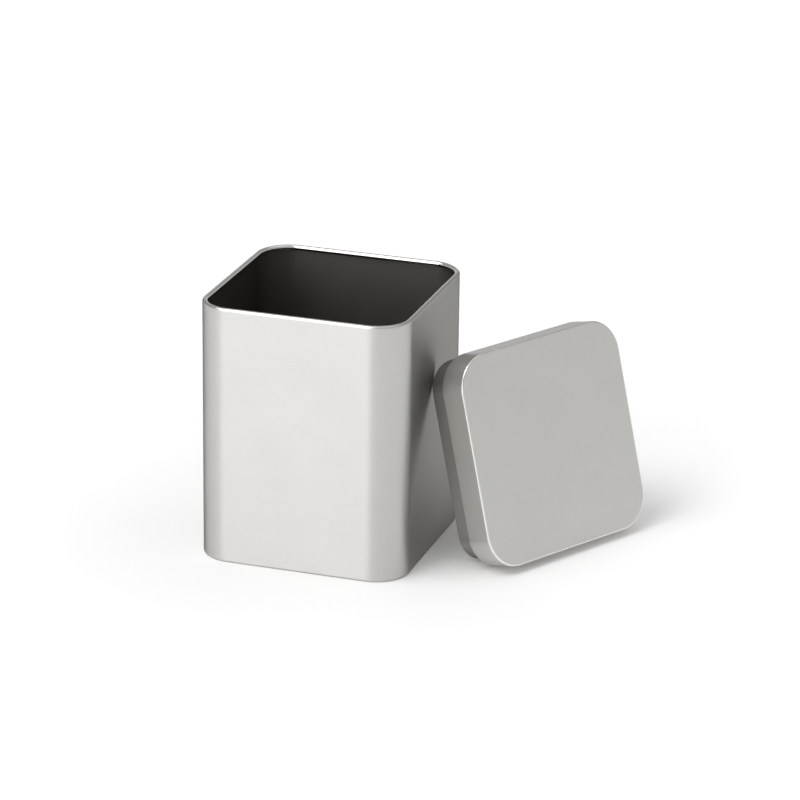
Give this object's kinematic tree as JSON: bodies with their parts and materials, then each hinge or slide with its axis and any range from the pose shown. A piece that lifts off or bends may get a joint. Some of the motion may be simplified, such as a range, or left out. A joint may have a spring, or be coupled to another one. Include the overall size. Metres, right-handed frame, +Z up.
{
  "type": "tea tin",
  "caption": "Square metal tea tin with rounded corners, a rolled rim and an open top, with its plug lid off and leant against its side.",
  "frame": {"origin": "centre of the tin's base, on the surface it stands on", "axes": "+Z up along the tin's axis, out of its mouth; +X from the tin towards the lid that leans against it; -Y out of the tin's front face"},
  "size_m": [0.1414, 0.0968, 0.094],
  "materials": {
    "tinplate": "satin bare tinplate, very fine grain"
  },
  "bodies": {
    "root": {"tin": "tinplate", "lid": "tinplate"}
  },
  "joints": []
}
